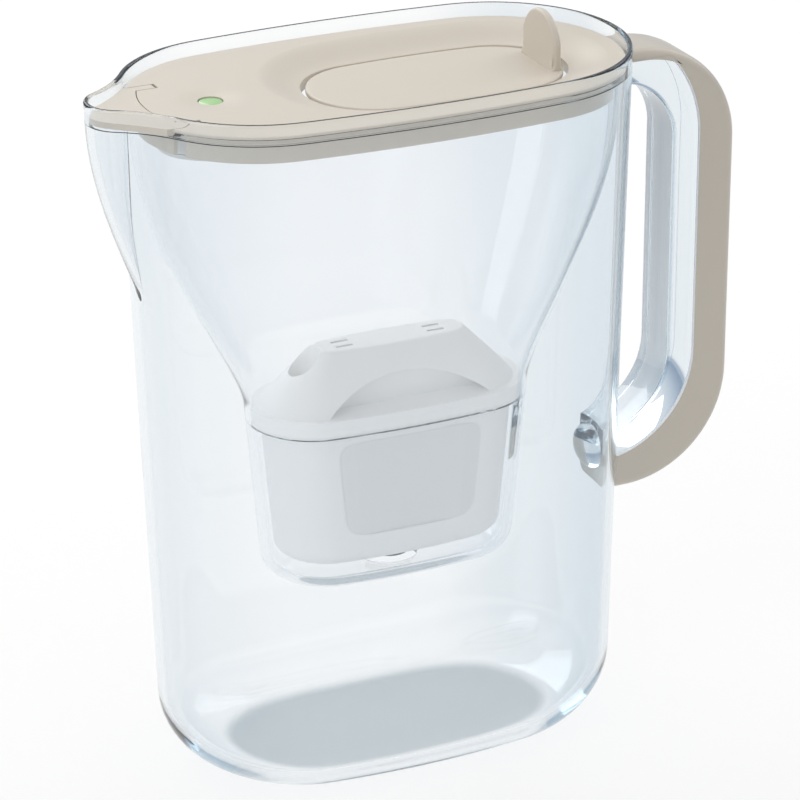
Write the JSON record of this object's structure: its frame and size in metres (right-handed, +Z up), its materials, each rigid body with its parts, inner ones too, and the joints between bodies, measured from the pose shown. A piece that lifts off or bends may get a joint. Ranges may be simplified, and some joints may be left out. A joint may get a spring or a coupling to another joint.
{
  "type": "water filter pitcher",
  "caption": "Clear oval water filter pitcher with a lift-out funnel and filter cartridge, a lid with hinged refill and spout flaps, a reset button and a loop handle.",
  "frame": {"origin": "centre of the flat base, on the table", "axes": "+Z up, the spout points to -X and the handle to +X, symmetric about Y = 0"},
  "size_m": [0.2619, 0.108, 0.2877],
  "materials": {
    "clear_plastic": "clear, polished",
    "greige_plastic": "satin",
    "green_lens": "translucent, polished",
    "white_plastic": "satin",
    "cartridge_plastic": "satin",
    "seal_rubber": "soft",
    "board_laminate": "solder mask",
    "led_resin": "clear resin",
    "switch_plastic": "moulded",
    "contact_metal": "bright",
    "sieve_mesh": "fine woven mesh",
    "filter_granules": "granules",
    "dark_plastic": "satin"
  },
  "bodies": {
    "jug": {"jug": "clear_plastic", "handle_grip": "greige_plastic"},
    "funnel": {"funnel": "clear_plastic"},
    "lid": {"lid": "greige_plastic", "module_housing": "white_plastic", "module_cover": "white_plastic", "module_seal": "seal_rubber", "circuit_board": "board_laminate", "indicator_led": "led_resin", "reset_switch": "switch_plastic", "cell_contact": "contact_metal", "coin_cell": "contact_metal", "cell_clip": "contact_metal"},
    "refill_flap": {"refill_flap": "greige_plastic"},
    "spout_flap": {"spout_flap": "greige_plastic"},
    "reset_button": {"reset_button": "green_lens"},
    "cartridge": {"cartridge_cup": "cartridge_plastic", "cartridge_cap": "cartridge_plastic", "cartridge_seal": "seal_rubber", "upper_sieve": "sieve_mesh", "filter_bed": "filter_granules", "lower_sieve": "sieve_mesh", "outlet_nozzle": "dark_plastic"}
  },
  "joints": [
    {"name": "funnel_lift", "type": "slide", "parent": "jug", "child": "funnel", "axis": [0, 0, 1], "range_m": [0, 0.21]},
    {"name": "lid_lift", "type": "slide", "parent": "funnel", "child": "lid", "axis": [0, 0, 1], "range_m": [0, 0.06]},
    {"name": "cartridge_lift", "type": "slide", "parent": "funnel", "child": "cartridge", "axis": [0, 0, 1], "range_m": [0, 0.08]},
    {"name": "refill_flap_hinge", "type": "hinge", "parent": "lid", "child": "refill_flap", "pos_m": [-0.025, 0, 0.2662], "axis": [0, -1, 0], "range_deg": [0, 95]},
    {"name": "spout_flap_hinge", "type": "hinge", "parent": "lid", "child": "spout_flap", "pos_m": [-0.084, 0, 0.2708], "axis": [0, 1, 0], "range_deg": [0, 60]},
    {"name": "reset_press", "type": "slide", "parent": "lid", "child": "reset_button", "axis": [0, 0, -1], "range_m": [0, 0.0008], "stiffness_N_per_m": 600}
  ]
}
